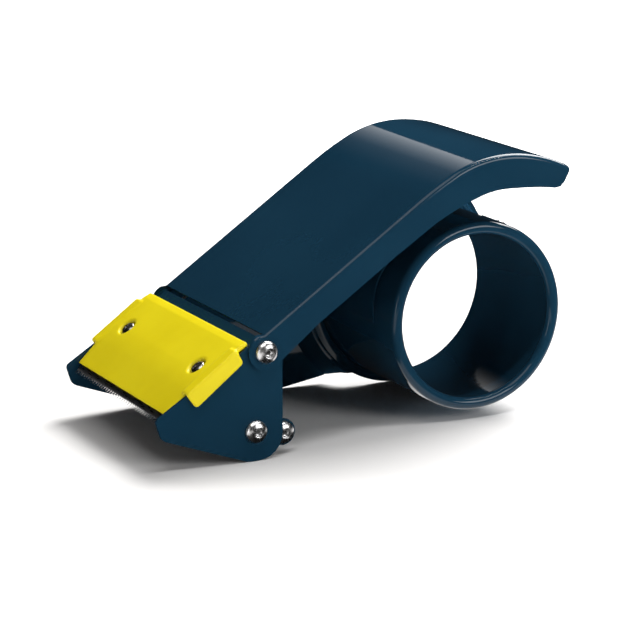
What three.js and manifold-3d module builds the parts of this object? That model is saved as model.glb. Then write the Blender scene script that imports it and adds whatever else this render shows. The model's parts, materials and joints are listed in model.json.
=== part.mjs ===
// Hand-held metal dispenser for carton-sealing tape.
// X runs from the blade (-X) to the handle's tail (+X), Y across it, Z up. Millimetres.
// Everything is laid out from the ring's axis at x = 0, and the whole group is centred at the end.
import * as THREE from "three";
import { mergeVertices } from "three/addons/utils/BufferGeometryUtils.js";
import Module from "manifold-3d";

const wasm = await Module();
wasm.setup();

const ringSides = 64; // facets round the ring and its dish
const smallSides = 24; // facets round axles, rollers and rivets

// Clearances.
const touch = 0.3; // between pieces that bear on each other
const running = 0.25; // radial, where a piece turns on its axle

// Sheet and widths.
const sheet = 1.2; // thickness of the painted steel
const cheekSpan = 88.8; // over the two cheeks of the front bracket

// Ring that holds the tape's core.
const ringR = 37.5; // for a 76 mm core
const ringWall = 1.2;
const ringInset = 11.4; // mouth of the ring inside the near cheek's outer face
const ringBeadR = 2.4; // rolled bead of the near mouth
const flangeFillet = 2; // outer radius where the ring turns into its flange
const flangeFlat = 1.9; // flat of the flange beyond the fillet

// Side plate that carries the ring.
const dishDepth = 8.4; // how far the dish steps in from the plate
const dishFloorWidth = 3.5; // flat of the dish floor beyond its hole
const dishSlope = 5; // radial width of the dish's sloping wall
const dishRim = 1.5; // flat around the dish
const plateLift = 0.6; // plate's lower edge above the floor

// Leaf springs that grip the core.
const leafThickness = 0.6;
const leafWidth = 18;
const leafArc = 60; // degrees
const leafStart = -2; // degrees above the ring's axis at the lower end
const leafBulge = 1.3;
const leafRivetR = 1.2;

// Hinge, axles and rollers, measured back from the ring's axis and up from the floor.
const hingeX = -97.9;
const hingeZ = 41.8;
const hingeR = 1.9;
const axleX = -101.6;
const axleZ = 11.5;
const axleR = 2.2;
const guideX = -88.3;
const guideZ = 8.4;
const guideR = 1.6;
const rivetHeadR = 4.4;
const rivetHeadHeight = 2.2;
const eyeletR = 1.5;
const eyeletDepth = 0.8;
const rollerR = 8.5;
const rollerRubber = 2; // thickness of the sleeve on the core
const guideRollerWall = 1.6;
const linkOffset = 3.3; // from the near cheek's inner face to the link
const linkEndR = 5.2;
const spacerWall = 1.1;

// Return spring of the handle.
const wireR = 0.55;
const springTurns = 4;
const springPitch = 1.7;
const springLegWeb = 12;
const springLegHandle = 14;
const springFromPlate = 4;

// Handle's side profile: a straight run, then three arcs of radius and turn.
const handleStartX = -98.3;
const handleStartZ = 48.3;
const handleAngle = 34.4; // degrees
const crestClear = 16.8; // from the side plate's top up to the handle's crest
const handleArcs = [
  { radius: 133, turn: 7.4 },
  { radius: 50, turn: 27 },
  { radius: 61.5, turn: 27.6 },
];
const flangeDepthFront = 10.9;
const flangeDepth = 13.2;
const flangeDepthTail = 9.4;
const flangeDeepens = 72; // distance from the front where the depth starts to grow
const flangeTaper = 28; // length over which the depth changes
const flangeEndR = 7; // round end about the hinge

// Brake pad under the handle's crest.
const padThickness = 2.5;
const padInset = 14.7; // from a flange's inner face
const padLength = 30;
const padBack = 22; // from the tail

// Cheeks of the front bracket.
const noseX = -142;
const noseTopZ = 20.6;
const noseLowX = -139.6;
const noseLowZ = 12.8;
const cheekFootX = -104.6;
const cheekRearX = -90.5;
const cheekRearR = 10;
const cheekProud = 0.7; // cheeks' top edge above the web at its rear end

// Web that bridges the cheeks, and what lies on it. Distances run forward from its rear edge.
const webRearX = -99.3;
const webRearZ = 46.9;
const webAngle = 36; // degrees
const webLength = 46.6;
const bladeThickness = 0.8;
const bladeSide = 2.2; // between the blade's end and a cheek
const bladeTip = 49.6;
const bladeRear = 18.5;
const toothPitch = 2;
const toothDepth = 1.8;
const coverRear = 5.2;
const coverCrest = 28.7;
const coverFront = 45.6;
const coverBack = 8.5; // end of the slope at its rear edge
const coverRearHeight = 2.9;
const coverBackHeight = 3.6;
const coverCrestHeight = 4.3;
const coverFrontHeight = 1.9;
const coverFlap = 1.7; // thickness of the flaps over the cheeks
const earRear = 10.3; // the flaps and the wide part of the cover lie between these
const earFront = 35.4;
const earHeight = 4.3;
const screwBack = 23.2;
const screwInset = 10.3; // from a cheek's inner face
const screwR = 1.5;
const screwHeadR = 2.9;
const screwHeadHeight = 1.5;
const screwSeat = 0.8; // plastic left under a screw head
const screwTail = 5.5;
const crossWidth = 0.8;
const crossLength = 3.4;
const nutAcross = 5.5;
const nutHeight = 2.4;

// Worked out from the sizes above.
const halfSpan = cheekSpan / 2;
const cheekInner = halfSpan - sheet;
const plateOuter = cheekInner - touch;
const plateInner = plateOuter - sheet;
const dishOuter = plateOuter - dishDepth;
const dishInner = dishOuter - sheet;
const ringFar = dishInner - touch;
const ringNear = -(halfSpan - ringInset);
const ringBore = ringR - ringWall;
const flangeR = ringR + flangeFillet + flangeFlat;
const ringZ = flangeR; // the flange stands on the floor
const dishHoleR = ringR + flangeFillet - 0.5;
const dishFootR = dishHoleR + dishFloorWidth;
const dishTopR = dishFootR + dishSlope;
const plateR = dishTopR + dishRim;
const handleInner = halfSpan + touch;
const handleOuter = handleInner + sheet;
const padWidth = 2 * (handleInner - padInset);
const bladeWidth = 2 * (cheekInner - bladeSide);
const screwAcross = cheekInner - screwInset;
const linkNear = -(cheekInner - linkOffset);
const linkFar = linkNear + sheet;
const deg = Math.PI / 180;
const webTan = Math.tan(webAngle * deg);
const webSlab = sheet / Math.cos(webAngle * deg);

const paint = { color: 0x17405c, roughness: 0.25, metalness: 0.1 };
const bright = { color: 0xc8ccd0, roughness: 0.2, metalness: 1 };
const steel = { color: 0x9a9da1, roughness: 0.35, metalness: 1 };
const yellow = { color: 0xf5e500, roughness: 0.35, metalness: 0 };
const rubber = { color: 0x26282a, roughness: 0.8, metalness: 0 };
const plastic = { color: 0x1c1d20, roughness: 0.5, metalness: 0 };

// A closed geometry as a solid that can be cut and joined.
function solid(geometry) {
  const bare = geometry.clone();
  bare.deleteAttribute("normal");
  bare.deleteAttribute("uv");
  const merged = mergeVertices(bare, 1e-4);
  const mesh = new wasm.Mesh({
    numProp: 3,
    vertProperties: merged.attributes.position.array,
    triVerts: new Uint32Array(merged.index.array),
  });
  return new wasm.Manifold(mesh);
}

function surface(body) {
  const mesh = body.getMesh();
  const geometry = new THREE.BufferGeometry();
  geometry.setAttribute("position", new THREE.BufferAttribute(mesh.vertProperties, 3));
  geometry.setIndex(new THREE.BufferAttribute(mesh.triVerts, 1));
  return geometry;
}

function cut(geometry, ...tools) {
  return surface(tools.reduce((body, tool) => body.subtract(solid(tool)), solid(geometry)));
}

function join(geometry, ...others) {
  return surface(others.reduce((body, other) => body.add(solid(other)), solid(geometry)));
}

// A side view in x and z, made solid between two places across the dispenser.
function plate(shape, yLow, yHigh) {
  const geometry = new THREE.ExtrudeGeometry(shape, {
    depth: yHigh - yLow,
    bevelEnabled: false,
    curveSegments: 5,
  });
  return geometry.rotateX(Math.PI / 2).translate(0, yHigh, 0);
}

function drum(radius, yLow, yHigh, x, z, sides = smallSides) {
  const geometry = new THREE.CylinderGeometry(radius, radius, yHigh - yLow, sides);
  return geometry.translate(x, (yLow + yHigh) / 2, z);
}

// A body turned about the Y direction from a profile of radius and place along it.
function turned(profile, x, z, sides = smallSides) {
  const points = profile.map(([r, y]) => new THREE.Vector2(r, y));
  return new THREE.LatheGeometry(points, sides).translate(x, 0, z);
}

function tube(inner, outer, yLow, yHigh, x, z, sides = smallSides) {
  const profile = [
    [inner, yLow],
    [outer, yLow],
    [outer, yHigh],
    [inner, yHigh],
    [inner, yLow],
  ];
  return turned(profile, x, z, sides);
}

// Points of an arc, angles in degrees.
function arc(cx, cy, radius, from, to, steps) {
  const points = [];
  for (let i = 0; i <= steps; i += 1) {
    const a = (from + ((to - from) * i) / steps) * deg;
    points.push([cx + radius * Math.cos(a), cy + radius * Math.sin(a)]);
  }
  return points;
}

function outline(points) {
  return new THREE.Shape(points.map(([x, z]) => new THREE.Vector2(x, z)));
}

// A polygon whose corners, given as x, z and radius, are rounded.
function rounded(corners, steps = 6) {
  const points = [];
  corners.forEach(([x, z, radius], i) => {
    const here = new THREE.Vector2(x, z);
    const [bx, bz] = corners[(i + corners.length - 1) % corners.length];
    const [ax, az] = corners[(i + 1) % corners.length];
    const back = new THREE.Vector2(bx, bz).sub(here).normalize();
    const ahead = new THREE.Vector2(ax, az).sub(here).normalize();
    const half = Math.acos(THREE.MathUtils.clamp(back.dot(ahead), -1, 1)) / 2;
    if (!radius) {
      points.push([x, z]);
      return;
    }
    const centre = back.clone().add(ahead).normalize();
    centre.multiplyScalar(radius / Math.sin(half)).add(here);
    const reach = radius / Math.tan(half);
    const start = here.clone().addScaledVector(back, reach).sub(centre).angle();
    let sweep = here.clone().addScaledVector(ahead, reach).sub(centre).angle() - start;
    sweep = Math.atan2(Math.sin(sweep), Math.cos(sweep));
    points.push(...arc(centre.x, centre.y, radius, start / deg, (start + sweep) / deg, steps));
  });
  return outline(points);
}

const model = new THREE.Group();
const head = new THREE.Group(); // lies on the web: x back along it, z square to it
head.position.set(webRearX, 0, webRearZ);
head.rotation.y = -webAngle * deg;
model.add(head);

function piece(name, geometry, finish, parent = model) {
  const mesh = new THREE.Mesh(geometry, new THREE.MeshStandardMaterial(finish));
  mesh.name = name;
  parent.add(mesh);
  return mesh;
}

// A tool placed on the web, brought into the model's own frame.
function fromHead(geometry) {
  head.updateMatrixWorld(true);
  return geometry.clone().applyMatrix4(head.matrixWorld);
}

// An upright round bar on the web.
function post(radius, zLow, zHigh, x, y, sides = smallSides) {
  const geometry = new THREE.CylinderGeometry(radius, radius, zHigh - zLow, sides);
  return geometry.rotateX(Math.PI / 2).translate(x, y, (zLow + zHigh) / 2);
}

// Front bracket: two cheeks bridged by the sloping web.
function frontBracket() {
  const topRear = webRearZ + (cheekRearX - webRearX) * webTan;
  const cheek = rounded([
    [noseX, noseTopZ, 2],
    [noseLowX, noseLowZ, 4],
    [cheekFootX, 0, 7],
    [cheekRearX, 0, cheekRearR],
    [cheekRearX, topRear, 7],
    [webRearX - 1, webRearZ - webTan + cheekProud, 1],
  ]);
  const slab = outline([
    [0, 0],
    [-webLength, 0],
    [-webLength, -sheet],
    [0, -sheet],
  ]);
  const bridge = fromHead(plate(slab, -halfSpan + sheet / 2, halfSpan - sheet / 2));
  const far = plate(cheek, cheekInner, halfSpan);
  const near = plate(cheek, -halfSpan, -cheekInner);
  const body = join(bridge, far, near);
  const reach = halfSpan + sheet;
  const holes = [
    drum(hingeR + touch, -reach, reach, hingeX, hingeZ),
    drum(axleR + touch, -reach, reach, axleX, axleZ),
  ];
  for (const side of [-1, 1]) {
    const hole = post(screwR + touch, -2 * sheet, sheet, -screwBack, side * screwAcross);
    holes.push(fromHead(hole));
  }
  return cut(body, ...holes);
}

// Ring: a drawn tube with a rolled bead at its mouth and a flange at its base.
function tapeRing() {
  const beadR = ringR - ringBeadR;
  const beadY = ringNear + ringBeadR;
  const mouth = Math.acos(ringWall / ringBeadR - 1) / deg;
  const open = 180 - mouth;
  const fillet = flangeFillet + ringWall;
  const filletY = ringFar - fillet;
  const filletR = ringBore + fillet;
  const profile = [
    ...arc(beadR, beadY, ringBeadR, open, 360, 9),
    ...arc(filletR, filletY, flangeFillet, 180, 90, 3),
    [flangeR, ringFar - ringWall],
    [flangeR, ringFar],
    ...arc(filletR, filletY, fillet, 90, 180, 3),
  ];
  profile.push(profile[0]);
  const ring = turned(profile, 0, ringZ, ringSides);
  return cut(ring, ...leafHoles());
}

// The leaf springs sit on the front and the back of the ring.
const leafSides = { front: -1, rear: 1 };
const leafRivetAngle = leafStart + leafArc - 6;
const leafY = -leafWidth / 2;

function leafHoles() {
  const holes = [];
  for (const side of Object.values(leafSides)) {
    const hole = new THREE.CylinderGeometry(leafRivetR + touch, leafRivetR + touch, 8, 16);
    holes.push(radial(hole, side));
  }
  return holes;
}

// Turns a piece made along Y so that it points out from the ring at a leaf's rivet.
function radial(geometry, side) {
  const a = leafRivetAngle * deg;
  geometry.rotateX(Math.PI / 2).rotateY(side * (Math.PI / 2 - a));
  geometry.translate(side * ringR * Math.cos(a), leafY, ringZ + ringR * Math.sin(a));
  return geometry;
}

function leafSpring(side) {
  const steps = 14;
  const inner = [];
  const outer = [];
  for (let i = 0; i <= steps; i += 1) {
    const t = i / steps;
    const a = (leafStart + leafArc * t) * deg;
    const low = ringR + touch + leafBulge * Math.sin(Math.PI * Math.min(1, t / 0.8)) ** 2;
    inner.push([side * low * Math.cos(a), ringZ + low * Math.sin(a)]);
    const high = low + leafThickness;
    outer.push([side * high * Math.cos(a), ringZ + high * Math.sin(a)]);
  }
  const leaf = plate(outline([...outer, ...inner.reverse()]), -leafWidth, 0);
  const hole = new THREE.CylinderGeometry(leafRivetR + touch, leafRivetR + touch, 8, 16);
  return cut(leaf, radial(hole, side));
}

function leafRivet() {
  const outside = leafThickness + 2 * touch;
  const headR = leafRivetR * 1.7;
  const height = 0.8;
  const inside = -(ringWall + touch);
  return turned(
    [
      [0, inside - height],
      [headR * 0.7, inside - height],
      [headR, inside],
      [leafRivetR, inside],
      [leafRivetR, outside],
      [headR, outside],
      [headR * 0.7, outside + height],
      [0, outside + height],
    ],
    0,
    0,
    16,
  );
}

// Side plate: an arm from the far cheek that widens into a dish behind the ring.
function sidePlate() {
  const underWeb = (webRearZ - hingeZ - (webRearX - hingeX) * webTan - webSlab) - 0.4;
  const topZ = (x) => hingeZ + (x - hingeX) * webTan + underWeb;
  const frontX = cheekFootX - 2.4;
  const rearX = hingeX + 1.4;
  const away = Math.hypot(rearX, topZ(rearX) - ringZ);
  const towards = Math.atan2(ringZ - topZ(rearX), -rearX);
  const tangent = towards + Math.asin(plateR / away) + Math.PI / 2;
  const crown = arc(0, ringZ, plateR, tangent / deg, -60, 24);
  const arm = outline([
    [frontX, 3],
    [cheekFootX, plateLift],
    [0, plateLift],
    ...crown.reverse(),
    [rearX, topZ(rearX)],
    [frontX, topZ(frontX)],
  ]);
  const clear = drum(
    dishTopR + dishRim / 3,
    plateInner - sheet,
    plateOuter + sheet,
    0,
    ringZ,
    ringSides,
  );
  const flat = cut(plate(arm, plateInner, plateOuter), clear);
  const dish = turned(
    [
      [dishHoleR, dishInner],
      [dishFootR, dishInner],
      [dishTopR, plateInner],
      [plateR, plateInner],
      [plateR, plateOuter],
      [dishTopR - 0.6, plateOuter],
      [dishFootR - 0.6, dishOuter],
      [dishHoleR, dishOuter],
      [dishHoleR, dishInner],
    ],
    0,
    ringZ,
    ringSides,
  );
  const below = plate(
    outline([
      [-48, -ringZ],
      [ringZ * 2, -ringZ],
      [ringZ * 2, 5.5],
      [-25, 5.5],
      [-30, 3.5],
      [-48, plateLift],
    ]),
    dishInner - sheet,
    plateOuter + sheet,
  );
  const through = [plateInner - sheet, plateOuter + sheet];
  return cut(
    join(flat, dish),
    below,
    drum(hingeR + touch, ...through, hingeX, hingeZ),
    drum(axleR + touch, ...through, axleX, axleZ),
    drum(guideR + touch, ...through, guideX, guideZ),
  );
}

// Points along the handle's top, each with its direction and distance from the front.
function handleRoute(straight) {
  const route = [];
  let angle = handleAngle * deg;
  let x = handleStartX;
  let z = handleStartZ;
  let along = 0;
  route.push({ x, z, angle, along });
  const straightSteps = 4;
  for (let i = 0; i < straightSteps; i += 1) {
    const run = straight / straightSteps;
    x += run * Math.cos(angle);
    z += run * Math.sin(angle);
    along += run;
    route.push({ x, z, angle, along });
  }
  for (const { radius, turn } of handleArcs) {
    const steps = Math.ceil(turn / 3);
    const bend = (turn * deg) / steps;
    for (let i = 0; i < steps; i += 1) {
      x += 2 * radius * Math.sin(bend / 2) * Math.cos(angle - bend / 2);
      z += 2 * radius * Math.sin(bend / 2) * Math.sin(angle - bend / 2);
      angle -= bend;
      along += radius * bend;
      route.push({ x, z, angle, along });
    }
  }
  return route;
}

// The straight run is as long as it takes for the arcs to reach the crest.
function straightRun() {
  let angle = handleAngle;
  let rise = 0;
  for (const { radius, turn } of handleArcs) {
    const next = Math.max(0, angle - turn);
    rise += radius * (Math.cos(next * deg) - Math.cos(angle * deg));
    angle = next;
  }
  const crest = ringZ + plateR + crestClear;
  return (crest - rise - handleStartZ) / Math.sin(handleAngle * deg);
}

const route = handleRoute(straightRun());
const handleLength = route[route.length - 1].along;

// A point under the handle's top, a given depth square to it.
function under({ x, z, angle }, depth) {
  return [x + depth * Math.sin(angle), z - depth * Math.cos(angle)];
}

function flangeDepthAt(along) {
  const front = THREE.MathUtils.clamp((along - flangeDeepens) / flangeTaper, 0, 1);
  const tail = Math.min(1, (handleLength - along) / flangeTaper);
  const full = THREE.MathUtils.lerp(flangeDepthFront, flangeDepth, front);
  return THREE.MathUtils.lerp(flangeDepthTail, full, Math.sin((tail * Math.PI) / 2));
}

// Handle: a channel whose flanges reach round the hinge outside the cheeks.
function handle() {
  const top = route.map((at) => under(at, 0));
  const low = route.map((at) => under(at, flangeDepthAt(at.along)));
  const tail = low.pop();
  const before = low[low.length - 1];
  const corner = 3;
  const back = new THREE.Vector2(before[0] - tail[0], before[1] - tail[1]).setLength(corner);
  const end = top[top.length - 1];
  const up = new THREE.Vector2(end[0] - tail[0], end[1] - tail[1]).setLength(corner);
  const tailRound = [
    [tail[0] + back.x, tail[1] + back.y],
    [tail[0] + (back.x + up.x) * 0.29, tail[1] + (back.y + up.y) * 0.29],
    [tail[0] + up.x, tail[1] + up.y],
  ];
  const round = arc(hingeX, hingeZ, flangeEndR, 115, 270 + handleAngle, 14);
  const side = outline([top[0], ...round, ...low.slice(1), ...tailRound, ...top.slice(1).reverse()]);
  const body = plate(side, -handleOuter, handleOuter);
  const roof = route.map((at) => under(at, sheet));
  const last = route[route.length - 1];
  const past = [
    roof[roof.length - 1][0] + 9 * Math.cos(last.angle),
    roof[roof.length - 1][1] + 9 * Math.sin(last.angle),
  ];
  const hollow = outline([
    under(route[0], -4),
    [noseX, handleStartZ + 4],
    [noseX, 0],
    [past[0], 0],
    past,
    ...roof.reverse(),
  ]);
  return cut(
    body,
    plate(hollow, -handleInner, handleInner),
    drum(hingeR + running, -handleOuter - sheet, handleOuter + sheet, hingeX, hingeZ),
  );
}

function brakePad() {
  const from = handleLength - padBack - padLength;
  const stretch = route.filter(({ along }) => along >= from && along <= from + padLength);
  const high = stretch.map((at) => under(at, sheet + touch));
  const low = stretch.map((at) => under(at, sheet + touch + padThickness));
  return plate(outline([...low, ...high.reverse()]), -padWidth / 2, padWidth / 2);
}

// A rivet formed over at both ends, with a hollow in the middle of each head.
function rivetHead(y, way, height = rivetHeadHeight, headR = rivetHeadR) {
  const dome = arc(0, 0, 1, 0, 75, 3).map(([c, s]) => {
    const r = eyeletR + (headR - eyeletR) * c;
    return [r, y + way * height * s];
  });
  const hollow = y + way * (height - eyeletDepth);
  return [...dome, [eyeletR, y + way * height], [eyeletR * 0.7, hollow], [0, hollow]];
}

function rivet(shankR, yLow, yHigh, x, z) {
  const profile = [
    ...rivetHead(yLow, -1).reverse(),
    [shankR, yLow],
    [shankR, yHigh],
    ...rivetHead(yHigh, 1),
  ];
  return turned(profile, x, z);
}

// The guide roller's axle has a head at the link and ends flush in the side plate.
function guideAxle() {
  const profile = [...rivetHead(linkNear - touch, -1).reverse(), [guideR, linkNear - touch]];
  profile.push([guideR, plateOuter], [0, plateOuter]);
  return turned(profile, guideX, guideZ);
}

function guideLink() {
  const lean = Math.atan2(guideZ - axleZ, guideX - axleX) / deg;
  const shape = outline([
    ...arc(guideX, guideZ, linkEndR, lean - 90, lean + 90, 12),
    ...arc(axleX, axleZ, linkEndR, lean + 90, lean + 270, 12),
  ]);
  return cut(
    plate(shape, linkNear, linkFar),
    drum(axleR + touch, linkNear - sheet, linkFar + sheet, axleX, axleZ),
    drum(guideR + touch, linkNear - sheet, linkFar + sheet, guideX, guideZ),
  );
}

// Torsion spring about the hinge, one leg under the web and one under the handle.
function handleSpring() {
  const meanR = hingeR + touch + wireR;
  const from = 90 + handleAngle;
  const to = 90 + webAngle + 360 * springTurns;
  const steps = 12 * springTurns;
  const startY = plateInner - springFromPlate - springPitch * springTurns;
  const points = [];
  const legSteps = 3;
  for (let i = legSteps; i > 0; i -= 1) {
    const run = (springLegHandle * i) / legSteps;
    const x = hingeX + meanR * Math.cos(from * deg) + run * Math.cos(handleAngle * deg);
    const z = hingeZ + meanR * Math.sin(from * deg) + run * Math.sin(handleAngle * deg);
    points.push(new THREE.Vector3(x, startY, z));
  }
  for (let i = 0; i <= steps; i += 1) {
    const a = (from + ((to - from) * i) / steps) * deg;
    const y = startY + (springPitch * springTurns * i) / steps;
    points.push(new THREE.Vector3(hingeX + meanR * Math.cos(a), y, hingeZ + meanR * Math.sin(a)));
  }
  const last = points[points.length - 1];
  for (let i = 1; i <= legSteps; i += 1) {
    const run = (springLegWeb * i) / legSteps;
    const x = last.x - run * Math.cos(webAngle * deg);
    const z = last.z - run * Math.sin(webAngle * deg);
    points.push(new THREE.Vector3(x, last.y, z));
  }
  const section = outline(arc(0, 0, wireR, 0, 300, 5));
  return new THREE.ExtrudeGeometry(section, {
    steps: 64,
    extrudePath: new THREE.CatmullRomCurve3(points, false, "centripetal"),
  });
}

// Blade: a steel strip whose front edge is cut into teeth.
function blade() {
  const teeth = Math.round(bladeWidth / toothPitch);
  const pitch = bladeWidth / teeth;
  const points = [
    [-bladeRear, bladeWidth / 2],
    [-(bladeTip - toothDepth), bladeWidth / 2],
  ];
  for (let i = 0; i < teeth; i += 1) {
    const y = bladeWidth / 2 - i * pitch;
    points.push([-bladeTip, y - pitch / 2], [-(bladeTip - toothDepth), y - pitch]);
  }
  points.push([-bladeRear, -bladeWidth / 2]);
  const strip = new THREE.ExtrudeGeometry(outline(points), {
    depth: bladeThickness,
    bevelEnabled: false,
  });
  strip.translate(0, 0, touch);
  const holes = [-1, 1].map((side) =>
    post(screwR + touch, 0, touch + 2 * bladeThickness, -screwBack, side * screwAcross),
  );
  return cut(strip, ...holes);
}

const bladeTop = touch + bladeThickness;

// Height of the cover's outer face above the web.
function coverHeight(back) {
  if (back < coverCrest) {
    const t = (back - coverBack) / (coverCrest - coverBack);
    return THREE.MathUtils.lerp(coverBackHeight, coverCrestHeight, t);
  }
  const t = (back - coverCrest) / (coverFront - coverCrest);
  return THREE.MathUtils.lerp(coverCrestHeight, coverFrontHeight, t);
}

// Blade cover: moulded over the web, with flaps that hook over the cheeks.
function bladeCover() {
  const inner = cheekInner - touch;
  const outer = handleInner + coverFlap;
  const lowest = bladeTop + touch;
  const section = outline([
    [-coverRear, touch],
    [-coverRear, coverRearHeight],
    [-coverBack, coverBackHeight],
    [-(coverCrest - 4), coverHeight(coverCrest - 4)],
    [-coverCrest, coverCrestHeight - 0.25],
    [-(coverCrest + 4), coverHeight(coverCrest + 4)],
    [-coverFront, coverFrontHeight],
    [-coverFront, lowest],
    [-(bladeRear - touch), lowest],
    [-(bladeRear - touch), touch],
  ]);
  const centre = plate(section, -inner, inner);
  const cheekTop = (back) => cheekLine(back) + touch;
  const cap = outline([
    [-coverRear, cheekTop(coverRear)],
    [-coverRear, coverRearHeight],
    [-coverBack, coverBackHeight],
    [-(earRear + 1), coverHeight(earRear + 1)],
    [-(earRear + 1), cheekTop(earRear + 1)],
  ]);
  const lid = plate(cap, -halfSpan, halfSpan);
  const ear = outline([
    [-earRear, cheekTop(earRear)],
    [-earRear, earHeight - 0.6],
    [-(earRear + 0.6), earHeight],
    [-(earFront - 1), earHeight],
    [-earFront, earHeight - 0.3],
    [-earFront, cheekTop(earFront)],
  ]);
  const flap = rounded([
    [-earFront, earHeight - 0.3, 0],
    [-(earFront + 0.1), -2.9, 1.4],
    [-(earRear + 0.7), -2.1, 1.4],
    [-earRear, earHeight - 0.6, 0],
    [-(earRear + 0.6), earHeight, 0],
    [-(earFront - 1), earHeight, 0],
  ]);
  const shoulder = cheekInner - 2;
  const flaps = [
    plate(ear, shoulder, outer),
    plate(ear, -outer, -shoulder),
    plate(flap, halfSpan + touch, outer),
    plate(flap, -outer, -(halfSpan + touch)),
  ];
  const seat = bladeTop + touch + screwSeat;
  const tools = [];
  for (const side of [-1, 1]) {
    const y = side * screwAcross;
    tools.push(post(screwR + touch, 0, seat + 1, -screwBack, y));
    tools.push(post(screwHeadR + 2 * touch, seat, coverCrestHeight + 2, -screwBack, y));
  }
  return cut(join(centre, lid, ...flaps), ...tools);
}

// Height of the cheeks' top edge above the web.
function cheekLine(back) {
  const slope = Math.atan2(webRearZ - noseTopZ, webRearX - noseX);
  return cheekProud + back * Math.tan(webAngle * deg - slope);
}

function coverScrew(side) {
  const seat = bladeTop + 2 * touch + screwSeat;
  const profile = [
    [0, -screwTail],
    [screwR, -screwTail],
    [screwR, seat],
    [screwHeadR, seat],
    [screwHeadR, seat + screwHeadHeight * 0.5],
    [screwHeadR * 0.8, seat + screwHeadHeight * 0.85],
    [screwHeadR * 0.45, seat + screwHeadHeight],
    [0, seat + screwHeadHeight],
  ];
  const body = turned(profile, 0, 0).rotateX(Math.PI / 2);
  const cutters = [
    [crossLength, crossWidth],
    [crossWidth, crossLength],
  ].map(([x, y]) =>
    new THREE.BoxGeometry(x, y, screwHeadHeight).translate(0, 0, seat + screwHeadHeight * 1.05),
  );
  return cut(body, ...cutters).translate(-screwBack, side * screwAcross, 0);
}

function coverNut(side) {
  const radius = nutAcross / Math.sqrt(3);
  const high = -sheet - touch;
  const body = post(radius, high - nutHeight, high, 0, 0, 6);
  const bore = post(screwR + touch, high - nutHeight - 1, high + 1, 0, 0);
  return cut(body, bore).translate(-screwBack, side * screwAcross, 0);
}

// Frame.
piece("front_bracket", frontBracket(), paint);
piece("side_plate", sidePlate(), paint);
piece("tape_ring", tapeRing(), paint);
for (const [name, side] of Object.entries(leafSides)) {
  piece(`core_spring_${name}`, leafSpring(side), steel);
  piece(`core_spring_rivet_${name}`, radial(leafRivet(), side), bright);
}

// Handle and its hinge.
piece("handle", handle(), paint);
piece("brake_pad", brakePad(), rubber);
const hingeFace = handleOuter + touch;
piece("hinge_rivet", rivet(hingeR, -hingeFace, hingeFace, hingeX, hingeZ), bright);
const spacerEnd = plateInner - springFromPlate - springPitch * springTurns - 2;
const spacerR = hingeR + touch + spacerWall;
const spacerFrom = -(cheekInner - touch);
const spacer = tube(hingeR + touch, spacerR, spacerFrom, spacerEnd, hingeX, hingeZ);
piece("hinge_spacer", spacer, steel);
piece("handle_spring", handleSpring(), steel);

// Rollers and their axles.
const axleFace = halfSpan + touch;
piece("front_axle", rivet(axleR, -axleFace, axleFace, axleX, axleZ), bright);
const rollerNear = linkFar + touch;
const rollerFar = plateInner - touch;
const coreOuter = rollerR - rollerRubber - touch;
piece("roller_sleeve", tube(coreOuter + touch, rollerR, rollerNear, rollerFar, axleX, axleZ), rubber);
const core = tube(axleR + running, coreOuter, rollerNear, rollerFar, axleX, axleZ);
piece("roller_core", core, plastic);
piece("guide_link", guideLink(), paint);
const linkSpacer = tube(axleR + touch, linkEndR - 1, spacerFrom, linkNear - touch, axleX, axleZ);
piece("link_spacer", linkSpacer, steel);
piece("guide_axle", guideAxle(), bright);
const guideBore = guideR + running;
const guideTube = tube(guideBore, guideBore + guideRollerWall, rollerNear, rollerFar, guideX, guideZ);
piece("guide_roller", guideTube, steel);

// Blade, its cover and the fasteners.
piece("blade", blade(), steel, head);
piece("blade_cover", bladeCover(), yellow, head);
for (const [name, side] of [["near", -1], ["far", 1]]) {
  piece(`cover_screw_${name}`, coverScrew(side), steel, head);
  piece(`cover_nut_${name}`, coverNut(side), steel, head);
}

// The frame's origin is the middle of the underside of the whole dispenser.
model.updateMatrixWorld(true);
const box = new THREE.Box3().setFromObject(model, true);
model.position.x = -(box.min.x + box.max.x) / 2;

export default new THREE.Group().add(model);
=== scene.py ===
import json
import math
import bmesh
import bpy
from mathutils import Matrix, Vector


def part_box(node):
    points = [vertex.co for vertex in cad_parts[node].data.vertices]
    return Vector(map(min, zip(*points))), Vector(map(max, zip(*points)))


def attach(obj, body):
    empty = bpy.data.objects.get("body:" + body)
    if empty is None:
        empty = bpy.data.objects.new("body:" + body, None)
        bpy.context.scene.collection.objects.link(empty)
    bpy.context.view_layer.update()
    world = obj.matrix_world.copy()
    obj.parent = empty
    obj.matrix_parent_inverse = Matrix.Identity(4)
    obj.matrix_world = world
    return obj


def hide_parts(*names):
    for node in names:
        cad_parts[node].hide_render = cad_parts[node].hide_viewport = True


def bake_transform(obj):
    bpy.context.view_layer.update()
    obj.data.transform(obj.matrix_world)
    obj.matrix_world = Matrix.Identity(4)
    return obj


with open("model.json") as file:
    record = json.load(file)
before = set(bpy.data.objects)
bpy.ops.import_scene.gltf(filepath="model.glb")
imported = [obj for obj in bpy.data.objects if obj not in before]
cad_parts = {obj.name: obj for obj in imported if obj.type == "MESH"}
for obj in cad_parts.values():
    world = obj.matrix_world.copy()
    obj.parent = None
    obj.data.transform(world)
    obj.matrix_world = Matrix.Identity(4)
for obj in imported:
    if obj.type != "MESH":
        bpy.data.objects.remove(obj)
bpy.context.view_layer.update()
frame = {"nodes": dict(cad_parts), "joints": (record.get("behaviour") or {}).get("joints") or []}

scene = bpy.context.scene
mm = 0.001
joints = {joint["name"]: Vector(joint["pos_m"]) for joint in frame["joints"]}
hinge = joints["handle_hinge"]
frontAxle = joints["front_roller_spin"]
guideAxle = joints["guide_roller_spin"]

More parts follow.
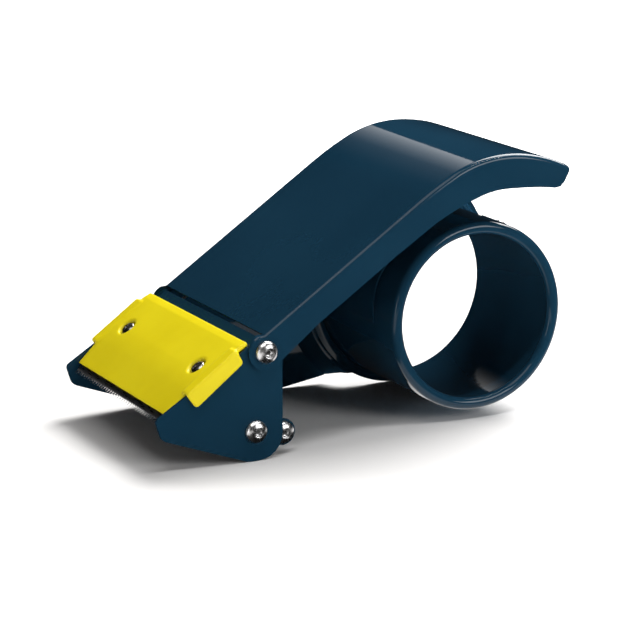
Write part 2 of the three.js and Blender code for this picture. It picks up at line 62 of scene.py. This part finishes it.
view = {
    "azimuth": -26.92,  # degrees, round from the near side
    "elevation": 13.99,
    "distance": 1.0338,
    "target": (-0.0065, -0.0009, 0.0390),
    "lens": 148.7,
    "sensor": 36,
}


def makeCamera():
    az = math.radians(view["azimuth"])
    el = math.radians(view["elevation"])
    back = Vector((math.sin(az) * math.cos(el), -math.cos(az) * math.cos(el), math.sin(el)))
    data = bpy.data.cameras.new("camera")
    data.lens = view["lens"]
    data.sensor_width = view["sensor"]
    data.clip_end = 30
    camera = bpy.data.objects.new("camera", data)
    camera.location = Vector(view["target"]) + back * view["distance"]
    camera.rotation_euler = (-back).to_track_quat("-Z", "Y").to_euler()
    scene.collection.objects.link(camera)
    scene.camera = camera


def newMaterial(name):
    material = bpy.data.materials.new(name)
    material.use_nodes = True
    return material, material.node_tree, material.node_tree.nodes["Principled BSDF"]


def addNode(tree, kind, **settings):
    node = tree.nodes.new(kind)
    for key, value in settings.items():
        setattr(node, key, value)
    return node


def noise(tree, scale, detail=3.0, stretch=(1, 1, 1)):
    place = addNode(tree, "ShaderNodeTexCoord")
    mapping = addNode(tree, "ShaderNodeMapping")
    mapping.inputs["Scale"].default_value = stretch
    texture = addNode(tree, "ShaderNodeTexNoise")
    texture.inputs["Scale"].default_value = scale
    texture.inputs["Detail"].default_value = detail
    tree.links.new(place.outputs["Object"], mapping.inputs["Vector"])
    tree.links.new(mapping.outputs["Vector"], texture.inputs["Vector"])
    return texture.outputs["Fac"]


def ramp(tree, source, low, high, start=0.35, end=0.65):
    node = addNode(tree, "ShaderNodeMapRange")
    node.inputs["From Min"].default_value = start
    node.inputs["From Max"].default_value = end
    node.inputs["To Min"].default_value = low
    node.inputs["To Max"].default_value = high
    tree.links.new(source, node.inputs["Value"])
    return node.outputs["Result"]


def tint(tree, factor, first, second):
    node = addNode(tree, "ShaderNodeMix", data_type="RGBA")
    node.inputs[6].default_value = (*first, 1)
    node.inputs[7].default_value = (*second, 1)
    tree.links.new(factor, node.inputs[0])
    return node.outputs[2]


def bump(tree, shader, height, strength, distance):
    node = addNode(tree, "ShaderNodeBump")
    node.inputs["Strength"].default_value = strength
    node.inputs["Distance"].default_value = distance
    tree.links.new(height, node.inputs["Height"])
    tree.links.new(node.outputs["Normal"], shader.inputs["Normal"])


# One noise varies the colour, one the roughness, and one gives the relief.
def dress(tree, shader, tone, colours, smear, rough, grain, relief):
    tree.links.new(tint(tree, ramp(tree, tone, 0, 1), *colours), shader.inputs["Base Color"])
    tree.links.new(ramp(tree, smear, *rough), shader.inputs["Roughness"])
    bump(tree, shader, grain, *relief)


paint = {
    "colours": ((0.0065, 0.031, 0.058), (0.0085, 0.038, 0.069)),
    "rough": (0.03, 0.07),
    "shine": 0.3,
    "peel": (0.02, 0.0004),  # strength and depth of the orange peel
}


def bluePaint():
    material, tree, shader = newMaterial("blue_paint")
    tone = noise(tree, 14)
    smear = noise(tree, 60, 5.0, (1, 0.35, 1))
    grain = noise(tree, 420, 2.0)
    dress(tree, shader, tone, paint["colours"], smear, paint["rough"], grain, paint["peel"])
    shader.inputs["Specular IOR Level"].default_value = paint["shine"]
    return material


plastic = {
    "colours": ((0.78, 0.64, 0.006), (0.84, 0.70, 0.010)),
    "rough": (0.30, 0.40),
    "shine": 0.25,
    "glow": 0.08,  # how much light travels inside
    "glowReach": (0.002, 0.0015, 0.0002),
    "relief": (0.05, 0.0002),
}


def yellowPlastic():
    material, tree, shader = newMaterial("yellow_plastic")
    tone = noise(tree, 30)
    grain = noise(tree, 1400, 2.0)
    dress(tree, shader, tone, plastic["colours"], grain, plastic["rough"], grain, plastic["relief"])
    shader.inputs["Specular IOR Level"].default_value = plastic["shine"]
    shader.inputs["Subsurface Weight"].default_value = plastic["glow"]
    shader.inputs["Subsurface Radius"].default_value = plastic["glowReach"]
    return material


metals = {
    # finish: material, colour, roughness, scale and stretch of the marks
    "rivet": ("rivet_steel", (0.86, 0.86, 0.86), (0.20, 0.34), 500, (1, 1, 1)),
    "steel": ("plain_steel", (0.42, 0.42, 0.42), (0.28, 0.42), 350, (1, 6, 1)),
    "blade": ("blade_steel", (0.20, 0.20, 0.21), (0.25, 0.40), 350, (6, 0.6, 6)),
    "ground": ("ground_edge", (0.9, 0.89, 0.87), (0.16, 0.22), 300, (1, 1, 1)),
    "oiled": ("oiled_steel", (0.10, 0.10, 0.10), (0.35, 0.45), 350, (1, 6, 1)),
    "screw": ("screw_steel", (0.45, 0.43, 0.40), (0.18, 0.32), 700, (1, 1, 1)),
}
metalDarkening = 0.78  # the darker marks' share of the colour
metalRelief = (0.08, 0.0002)


def metal(name, colour, rough, scale, stretch):
    material, tree, shader = newMaterial(name)
    marks = noise(tree, scale, 4.0, stretch)
    darker = tuple(channel * metalDarkening for channel in colour)
    dress(tree, shader, marks, (darker, colour), marks, rough, marks, metalRelief)
    shader.inputs["Metallic"].default_value = 1.0
    return material


dullFinishes = {
    # finish: material, colours, roughness, scale and strength of the grain
    "rubber": ("black_rubber", ((0.010, 0.010, 0.011), (0.022, 0.022, 0.024)), 0.75, 900, 0.3),
    "dark": ("dark_plastic", ((0.012, 0.012, 0.014), (0.02, 0.02, 0.022)), 0.5, 600, 0.1),
}
dullSpread = 0.08  # roughness either side of the middle
dullDepth = 0.0003


def dull(name, colours, rough, scale, strength):
    material, tree, shader = newMaterial(name)
    grain = noise(tree, scale, 4.0)
    spread = (rough - dullSpread, rough + dullSpread)
    dress(tree, shader, grain, colours, grain, spread, grain, (strength, dullDepth))
    return material


materials = {"paint": bluePaint(), "plastic": yellowPlastic()}
for finish, values in metals.items():
    materials[finish] = metal(*values)
for finish, values in dullFinishes.items():
    materials[finish] = dull(*values)
print("materials made")


# A merged copy of a CAD node, its flat faces whole again.
def workingCopy(node):
    bm = bmesh.new()
    bm.from_mesh(frame["nodes"][node].data)
    bmesh.ops.remove_doubles(bm, verts=bm.verts, dist=0.002 * mm)
    limit = math.radians(0.6)
    bmesh.ops.dissolve_limit(bm, angle_limit=limit, verts=bm.verts, edges=bm.edges)
    return bm


def bevel(bm, edges, offset, segments, clamp=True):
    bmesh.ops.bevel(
        bm,
        geom=list(edges),
        offset=offset,
        offset_type="OFFSET",
        segments=segments,
        profile=0.5,
        affect="EDGES",
        material=-1,
        clamp_overlap=clamp,
    )


def sharpEdges(bm, degrees):
    limit = math.radians(degrees)
    return [e for e in bm.edges if len(e.link_faces) == 2 and e.calc_face_angle(0) > limit]


def onlyVerts(geom):
    return [v for v in geom if isinstance(v, bmesh.types.BMVert)]


def rotate(bm, degrees, axis):
    spin = Matrix.Rotation(math.radians(degrees), 3, axis)
    bmesh.ops.rotate(bm, verts=bm.verts, cent=(0, 0, 0), matrix=spin)


def newObject(bm, name):
    mesh = bpy.data.meshes.new(name)
    bm.to_mesh(mesh)
    bm.free()
    made = bpy.data.objects.new(name, mesh)
    scene.collection.objects.link(made)
    return made


def makePiece(bm, name, body, finish, replaced, smoothAngle=38):
    for face in bm.faces:
        face.smooth = True
    for edge in sharpEdges(bm, smoothAngle):
        edge.smooth = False
    piece = newObject(bm, name)
    piece.data.materials.append(materials[finish])
    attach(piece, body)
    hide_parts(replaced)
    return piece


def evenNormals(piece):
    weighted = piece.modifiers.new("evenNormals", "WEIGHTED_NORMAL")
    weighted.keep_sharp = True
    weighted.weight = 80


# Swings a chain's last vertex round a centre in the profile's plane, and returns the new last one.
def swing(bm, vertex, centre, angle, steps):
    made = bmesh.ops.spin(
        bm,
        geom=[vertex],
        cent=centre,
        axis=(0, 0, 1),
        dvec=(0, 0, 0),
        angle=angle,
        steps=steps,
        use_merge=False,
    )
    return onlyVerts(made["geom_last"])[0]


def draw(bm, vertex, point):
    made = bmesh.ops.extrude_vert_indiv(bm, verts=[vertex])["verts"][0]
    made.co = Vector(point)
    return made


# Turns a profile drawn with x as radius and y as place across into a body about an axle.
def turn(bm, x, z, steps):
    bmesh.ops.spin(
        bm,
        geom=bm.verts[:] + bm.edges[:],
        cent=(0, 0, 0),
        axis=(0, 1, 0),
        dvec=(0, 0, 0),
        angle=2 * math.pi,
        steps=steps,
        use_merge=True,
    )
    bmesh.ops.remove_doubles(bm, verts=bm.verts, dist=0.001 * mm)
    bmesh.ops.recalc_face_normals(bm, faces=bm.faces)
    bmesh.ops.translate(bm, vec=(x, 0, z), verts=bm.verts)


ring = {
    "wall": 1.2 * mm,
    "bead": 2.4 * mm,  # radius of the rolled edge
    "flange": 3.9 * mm,  # how far it stands out from the wall
    "fillet": 2.0 * mm,
    "edge": 0.3 * mm,
    "steps": 160,
    "beadSteps": 26,
    "bendSteps": 8,
}


# Rolled bead at the near end, straight wall, and flange at the far end.
def tapeRing():
    low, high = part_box("tape_ring")
    x = (low.x + high.x) / 2
    z = (low.z + high.z) / 2
    far = high.y
    wall = ring["wall"]
    bead = ring["bead"]
    edge = ring["edge"]
    flange = (high.z - low.z) / 2
    outer = flange - ring["flange"]
    inner = outer - wall
    beadX = outer - bead
    beadY = low.y + bead
    mouth = math.acos((inner - beadX) / bead)
    bend = ring["fillet"] + wall
    bm = bmesh.new()
    start = bm.verts.new((beadX + bead * math.cos(mouth), beadY + bead * math.sin(mouth), 0))
    last = swing(bm, start, (beadX, beadY, 0), 2 * math.pi - mouth, ring["beadSteps"])
    last = draw(bm, last, (outer, far - bend, 0))
    foot = (outer + ring["fillet"], far - bend, 0)
    last = swing(bm, last, foot, -math.pi / 2, ring["bendSteps"])
    last = draw(bm, last, (flange - edge, far - wall, 0))
    last = draw(bm, last, (flange, far - wall + edge, 0))
    last = draw(bm, last, (flange, far - edge, 0))
    last = draw(bm, last, (flange - edge, far, 0))
    last = draw(bm, last, (inner + bend, far, 0))
    last = swing(bm, last, (inner + bend, far - bend, 0), math.pi / 2, ring["bendSteps"])
    bm.edges.new((last, start))
    turn(bm, x, z, ring["steps"])
    makePiece(bm, "tape_ring_fine", "frame", "paint", "tape_ring")


rivet = {
    "headR": 4.4 * mm,
    "height": 2.2 * mm,
    "eyeR": 1.9 * mm,  # rim of the pressed eye
    "edge": 0.3 * mm,
    "steps": 56,
    "hingeShank": 1.9 * mm,
    "frontShank": 2.2 * mm,
    "guideShank": 1.6 * mm,
}


# A domed head with a pressed eye, from the shank to the middle, at a face across the dispenser.
def rivetHead(bm, face, way, shankR):
    headR = rivet["headR"]
    eye = rivet["eyeR"]
    points = [
        # radius, share of the head's height
        (shankR, 0),
        (headR * 0.97, 0),
        (headR, 0.10),
        (headR * 0.985, 0.24),
        (headR * 0.93, 0.46),
        (headR * 0.84, 0.66),
        (headR * 0.72, 0.82),
        (headR * 0.58, 0.93),
        (eye + 0.35 * mm, 0.97),
        (eye + 0.12 * mm, 0.80),
        (eye - 0.05 * mm, 0.74),
        (eye - 0.22 * mm, 0.82),
        (eye - 0.40 * mm, 0.99),
        (eye - 0.62 * mm, 1.0),
        (eye - 0.80 * mm, 0.90),
        (eye - 0.90 * mm, 0.62),
        (0.55 * mm, 0.55),
        (0, 0.58),
    ]
    last = None
    for radius, share in points:
        point = (radius, face + way * rivet["height"] * share, 0)
        last = draw(bm, last, point) if last else bm.verts.new(point)


def shankEnds(bm, shankR):
    return [v for v in bm.verts if abs(v.co.x - shankR) < 0.01 * mm]


def throughRivet(node, axle, shankR):
    low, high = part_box(node)
    bm = bmesh.new()
    rivetHead(bm, low.y + rivet["height"], -1, shankR)
    rivetHead(bm, high.y - rivet["height"], 1, shankR)
    bm.edges.new(shankEnds(bm, shankR))
    turn(bm, axle.x, axle.z, rivet["steps"])
    makePiece(bm, node + "_fine", "frame", "rivet", node)


# One head outside the cheek, and a plain end under the guide roller.
def guideRivet():
    low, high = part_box("guide_axle")
    shankR = rivet["guideShank"]
    bm = bmesh.new()
    rivetHead(bm, low.y + rivet["height"], -1, shankR)
    end = draw(bm, shankEnds(bm, shankR)[0], (shankR, high.y - rivet["edge"], 0))
    end = draw(bm, end, (shankR - rivet["edge"], high.y, 0))
    draw(bm, end, (0, high.y, 0))
    turn(bm, guideAxle.x, guideAxle.z, rivet["steps"])
    makePiece(bm, "guide_axle_fine", "frame", "rivet", "guide_axle")


handle = {"bend": 2.0 * mm, "sheet": 1.2 * mm}


# The long edges where the top turns down into a flange. facing is 1 outside the sheet, -1 inside.
def bendEdges(bm, across, facing):
    found = []
    for edge in bm.edges:
        if len(edge.link_faces) != 2:
            continue
        if any(abs(abs(v.co.y) - across) > 0.02 * mm for v in edge.verts):
            continue
        faces = edge.link_faces
        onTop = any(abs(f.normal.y) < 0.1 and f.normal.z * facing > 0.3 for f in faces)
        if onTop and edge.calc_face_angle(0) > 1:
            found.append(edge)
    return found


def handlePiece():
    low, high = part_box("handle")
    sheet = handle["sheet"]
    bend = handle["bend"]
    bm = workingCopy("handle")
    bevel(bm, bendEdges(bm, high.y, 1), bend, 6, False)
    bevel(bm, bendEdges(bm, high.y - sheet, -1), bend - sheet, 4, False)
    evenNormals(makePiece(bm, "handle_fine", "handle_lever", "paint", "handle"))


edges = {
    # kind: width of the rounded edge, degrees above which an edge is rounded
    "sheet": (0.25 * mm, 50),
    "screw": (0.12 * mm, 35),
    "nut": (0.2 * mm, 50),
}


def roundedPiece(node, finish, kind):
    width, angle = edges[kind]
    bm = workingCopy(node)
    bevel(bm, sharpEdges(bm, angle), width, 2)
    evenNormals(makePiece(bm, node + "_fine", "frame", finish, node))


# x runs back along the web, and z is up from it.
blade = {
    "teeth": 41,
    "toothWidth": 1.4 * mm,
    "toothLength": 2.9 * mm,
    "toothTipR": 0.03 * mm,
    "tip": -49.6 * mm,
    "rear": -18.5 * mm,
    "bottom": 0.3 * mm,
    "top": 1.1 * mm,
    # the strip's lowered front lip reaches into the gaps between the teeth: a dark steel sheet there
    # as painted shade
    "gapShadeLip": 1.1 * mm,
    "gapShadeLipDrop": 0.45 * mm,
    "webAngle": 36,
    "webRear": Vector((-1.4 * mm, 0, 5.1 * mm)),  # from the hinge
}


# Lays a piece made flat, with x back along the web, onto the web at the cover's rear edge.
def layOnWeb(bm):
    turnBack = Matrix.Rotation(-math.radians(blade["webAngle"]), 4, "Y")
    place = Matrix.Translation(hinge + blade["webRear"])
    bmesh.ops.transform(bm, matrix=place @ turnBack, verts=bm.verts)


def bladeStrip():
    low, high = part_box("blade")
    root = blade["tip"] + blade["toothLength"]
    rear = blade["rear"]
    bottom = blade["bottom"]
    top = blade["top"]
    bm = bmesh.new()
    bmesh.ops.create_cube(bm, size=1)
    bmesh.ops.scale(bm, vec=(rear - root, high.y - low.y, top - bottom), verts=bm.verts)
    bmesh.ops.translate(bm, vec=((rear + root) / 2, 0, (top + bottom) / 2), verts=bm.verts)
    # The front runs on past the teeth's roots as a lowered lip of dark steel, a dark sheet set into
    # the tooth gaps for painted shade.
    front = min(bm.faces, key=lambda face: face.calc_center_median().x)
    moved = onlyVerts(bmesh.ops.extrude_face_region(bm, geom=[front])["geom"])
    bmesh.ops.delete(bm, geom=[front], context="FACES_ONLY")
    bmesh.ops.translate(bm, vec=(-blade["gapShadeLip"], 0, 0), verts=moved)
    raised = [v for v in moved if v.co.z > (top + bottom) / 2]
    bmesh.ops.translate(bm, vec=(0, 0, -blade["gapShadeLipDrop"]), verts=raised)
    layOnWeb(bm)
    makePiece(bm, "blade_strip", "frame", "blade", "blade")


def bladeTeeth():
    low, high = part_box("blade")
    pitch = (high.y - low.y) / blade["teeth"]
    bottom = blade["bottom"]
    bm = bmesh.new()
    bmesh.ops.create_cone(
        bm,
        cap_ends=True,
        segments=3,
        radius1=blade["toothWidth"] / math.sqrt(3),
        radius2=blade["toothTipR"],
        depth=blade["toothLength"],
    )
    rotate(bm, -90, "Y")
    heights = [v.co.z for v in bm.verts]
    thin = (blade["top"] - bottom) / (max(heights) - min(heights))
    bmesh.ops.scale(bm, vec=(1, 1, thin), verts=bm.verts)
    lowest = min(v.co.z for v in bm.verts)
    middle = blade["tip"] + blade["toothLength"] / 2
    bmesh.ops.translate(bm, vec=(middle, low.y + pitch / 2, bottom - lowest), verts=bm.verts)
    tooth = bm.verts[:] + bm.edges[:] + bm.faces[:]
    for i in range(1, blade["teeth"]):
        made = bmesh.ops.duplicate(bm, geom=tooth)["geom"]
        bmesh.ops.translate(bm, vec=(0, i * pitch, 0), verts=onlyVerts(made))
    layOnWeb(bm)
    makePiece(bm, "blade_teeth", "frame", "ground", "blade", 20)


cover = {
    "voxel": 0.36 * mm,
    "soften": 10,  # smoothing passes
    "scoopSize": (4.6 * mm, 4.14 * mm, 1.5 * mm),  # half lengths
    "scoopTilt": -4,
    "scoopBack": -22.7 * mm,
    "scoopAcross": 32.9 * mm,
    "scoopUp": 4.4 * mm,
}


# Shallow dish tilted uphill round each screw.
def scoop(side):
    bm = bmesh.new()
    bmesh.ops.create_icosphere(bm, subdivisions=4, radius=1)
    bmesh.ops.scale(bm, vec=cover["scoopSize"], verts=bm.verts)
    rotate(bm, cover["scoopTilt"], "Y")
    place = (cover["scoopBack"], side * cover["scoopAcross"], cover["scoopUp"])
    bmesh.ops.translate(bm, vec=place, verts=bm.verts)
    layOnWeb(bm)
    return newObject(bm, "scoop")


# Moulded look: the dished cover is meshed evenly and smoothed, which rounds every edge.
def bladeCover():
    base = newObject(workingCopy("blade_cover"), "coverBase")
    scoops = [scoop(side) for side in (-1, 1)]
    for dish in scoops:
        dip = base.modifiers.new("dip", "BOOLEAN")
        dip.operation = "DIFFERENCE"
        dip.object = dish
    remesh = base.modifiers.new("remesh", "REMESH")
    remesh.mode = "VOXEL"
    remesh.voxel_size = cover["voxel"]
    bpy.context.view_layer.update()
    graph = bpy.context.evaluated_depsgraph_get()
    bm = bmesh.new()
    bm.from_mesh(bpy.data.meshes.new_from_object(base.evaluated_get(graph)))
    for used in (base, *scoops):
        bpy.data.objects.remove(used)
    axes = {"use_axis_x": True, "use_axis_y": True, "use_axis_z": True}
    for _ in range(cover["soften"]):
        bmesh.ops.smooth_vert(bm, verts=bm.verts, factor=0.5, **axes)
    makePiece(bm, "blade_cover_fine", "frame", "plastic", "blade_cover", 180)


# A smooth-shaded copy of the spring, fixed where it stands, its coil on the hinge's spacer.
def handleSpring():
    bm = workingCopy("handle_spring")
    for face in bm.faces:
        face.smooth = True
    piece = newObject(bm, "handle_spring_fine")
    piece.data.materials.append(materials["oiled"])
    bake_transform(piece)
    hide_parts("handle_spring")


floorLook = {
    "colours": ((0.84, 0.835, 0.83), (0.86, 0.855, 0.85)),
    "rough": 0.9,
    "fadeStart": 0.28,  # metres from the object
    "fadeEnd": 0.75,
}


def makeStage():
    bm = bmesh.new()
    bmesh.ops.create_grid(bm, x_segments=2, y_segments=2, size=6)
    floor = newObject(bm, "floor")
    material, tree, shader = newMaterial("floor_white")
    shade = tint(tree, noise(tree, 3), *floorLook["colours"])
    tree.links.new(shade, shader.inputs["Base Color"])
    shader.inputs["Roughness"].default_value = floorLook["rough"]
    shader.inputs["Specular IOR Level"].default_value = 0.0
    # far from the object the floor fades into the white backdrop
    place = addNode(tree, "ShaderNodeTexCoord")
    length = addNode(tree, "ShaderNodeVectorMath", operation="LENGTH")
    tree.links.new(place.outputs["Object"], length.inputs[0])
    ends = (floorLook["fadeStart"], floorLook["fadeEnd"])
    fade = ramp(tree, length.outputs["Value"], 0.0, 1.0, *ends)
    tree.links.new(fade, shader.inputs["Emission Strength"])
    shader.inputs["Emission Color"].default_value = (1, 1, 1, 1)
    floor.data.materials.append(material)
    floor.visible_glossy = False


# Glowing boards that only mirror-like surfaces see.
cards = {
    # name: centre, size x, size y, turn about x in degrees, shear, strength at left and right, curve
    "crest": ((0.1075, 0.36, 0.287), 0.155, 0.114, 90, 0.45, 0.0, 1.5, 2.0),
    "overhead": ((-0.30, -0.42, 0.85), 0.6, 0.8, 0, 0, 2.0, 2.0, 1),
    "lowLeft": ((-0.34, -0.28, 0.001), 0.52, 0.5, 0, 0, 1.1, 1.1, 1),
    "lowRight": ((0.16, -0.035, 0.001), 0.34, 0.06, 0, 0, 1.1, 1.1, 1),
}


def makeCard(name, centre, sizeX, sizeY, tilt, shear, left, right, curve):
    bm = bmesh.new()
    bmesh.ops.create_grid(bm, x_segments=2, y_segments=2, size=0.5)
    bmesh.ops.scale(bm, vec=(sizeX, sizeY, 1), verts=bm.verts)
    lean = Matrix.Identity(4)
    lean[0][1] = shear
    rise = Matrix.Rotation(math.radians(tilt), 4, "X")
    bmesh.ops.transform(bm, matrix=rise @ lean, verts=bm.verts)
    bmesh.ops.translate(bm, vec=centre, verts=bm.verts)
    board = newObject(bm, name)
    material, tree, shader = newMaterial(name + "_glow")
    place = addNode(tree, "ShaderNodeTexCoord")
    split = addNode(tree, "ShaderNodeSeparateXYZ")
    tree.links.new(place.outputs["Object"], split.inputs[0])
    start = centre[0] - sizeX / 2
    share = ramp(tree, split.outputs["X"], 0.0, 1.0, start, start + sizeX)
    power = addNode(tree, "ShaderNodeMath", operation="POWER")
    tree.links.new(share, power.inputs[0])
    power.inputs[1].default_value = curve
    glow = ramp(tree, power.outputs[0], left, right, 0.0, 1.0)
    tree.links.new(glow, shader.inputs["Emission Strength"])
    shader.inputs["Emission Color"].default_value = (1, 0.98, 0.97, 1)
    shader.inputs["Base Color"].default_value = (0, 0, 0, 1)
    shader.inputs["Specular IOR Level"].default_value = 0.0
    board.data.materials.append(material)
    board.visible_camera = False
    board.visible_diffuse = False
    board.visible_shadow = False


lamps = {
    # name: place, aim, size x, size y, power, colour
    "topBox": ((0.72, 0.36, 0.97), (0, 0, 0), 0.9, 0.9, 32, (1.0, 0.99, 0.98)),
    "overhead": ((0.0, -0.36, 1.0), (0, 0, 0.05), 1.1, 0.015, 4, (1.0, 1.0, 1.0)),
    "frontBox": ((0.55, -1.05, 0.50), (0, 0, 0.06), 0.6, 0.5, 5.5, (1.0, 1.0, 1.0)),
    "leftStrip": ((-1.05, -0.55, 0.14), (0, 0, 0.03), 0.10, 0.45, 1.2, (1.0, 1.0, 1.0)),
}


def makeLamp(name, place, aim, sizeX, sizeY, power, colour):
    data = bpy.data.lights.new(name, "AREA")
    data.shape = "RECTANGLE"
    data.size = sizeX
    data.size_y = sizeY
    data.energy = power
    data.color = colour
    lamp = bpy.data.objects.new(name, data)
    lamp.location = place
    lamp.rotation_euler = (Vector(aim) - Vector(place)).to_track_quat("-Z", "Y").to_euler()
    scene.collection.objects.link(lamp)


sky = {
    # what looks at it: colour, strength
    "camera": ((1, 1, 1, 1), 1.05),
    "diffuse": ((1.0, 0.95, 0.92, 1), 0.10),
    "other": ((0.8, 0.8, 0.8, 1), 0.01),
}


def makeWorld():
    world = bpy.data.worlds.new("studio")
    scene.world = world
    world.use_nodes = True
    tree = world.node_tree
    tree.nodes.remove(tree.nodes["Background"])
    shades = {}
    for ray, (colour, strength) in sky.items():
        shades[ray] = addNode(tree, "ShaderNodeBackground")
        shades[ray].inputs["Color"].default_value = colour
        shades[ray].inputs["Strength"].default_value = strength
    path = addNode(tree, "ShaderNodeLightPath")
    soft = addNode(tree, "ShaderNodeMixShader")
    tree.links.new(path.outputs["Is Diffuse Ray"], soft.inputs[0])
    tree.links.new(shades["other"].outputs[0], soft.inputs[1])
    tree.links.new(shades["diffuse"].outputs[0], soft.inputs[2])
    mix = addNode(tree, "ShaderNodeMixShader")
    tree.links.new(path.outputs["Is Camera Ray"], mix.inputs[0])
    tree.links.new(soft.outputs[0], mix.inputs[1])
    tree.links.new(shades["camera"].outputs[0], mix.inputs[2])
    tree.links.new(mix.outputs[0], tree.nodes["World Output"].inputs["Surface"])


makeCamera()
makeStage()
for name, values in cards.items():
    makeCard(name, *values)
makeWorld()
for name, values in lamps.items():
    makeLamp(name, *values)
scene.view_settings.view_transform = "Standard"
print("studio made")

tapeRing()
throughRivet("hinge_rivet", hinge, rivet["hingeShank"])
throughRivet("front_axle", frontAxle, rivet["frontShank"])
guideRivet()
print("ring and rivets made")

handlePiece()
for node in ("front_bracket", "side_plate", "guide_link", "core_spring_front", "core_spring_rear"):
    roundedPiece(node, "paint", "sheet")
print("handle and plates made")

bladeStrip()
bladeTeeth()
for side in ("near", "far"):
    roundedPiece("cover_screw_" + side, "screw", "screw")
    roundedPiece("cover_nut_" + side, "steel", "nut")
bladeCover()
handleSpring()
print("blade, cover and spring made")

plainFinish = {
    "hinge_spacer": "oiled",
    "link_spacer": "steel",
    "guide_roller": "steel",
    "roller_sleeve": "rubber",
    "roller_core": "dark",
    "brake_pad": "rubber",
    "core_spring_rivet_front": "rivet",
    "core_spring_rivet_rear": "rivet",
}
for node, finish in plainFinish.items():
    mesh = frame["nodes"][node].data
    mesh.materials.clear()
    mesh.materials.append(materials[finish])
print("CAD pieces finished")
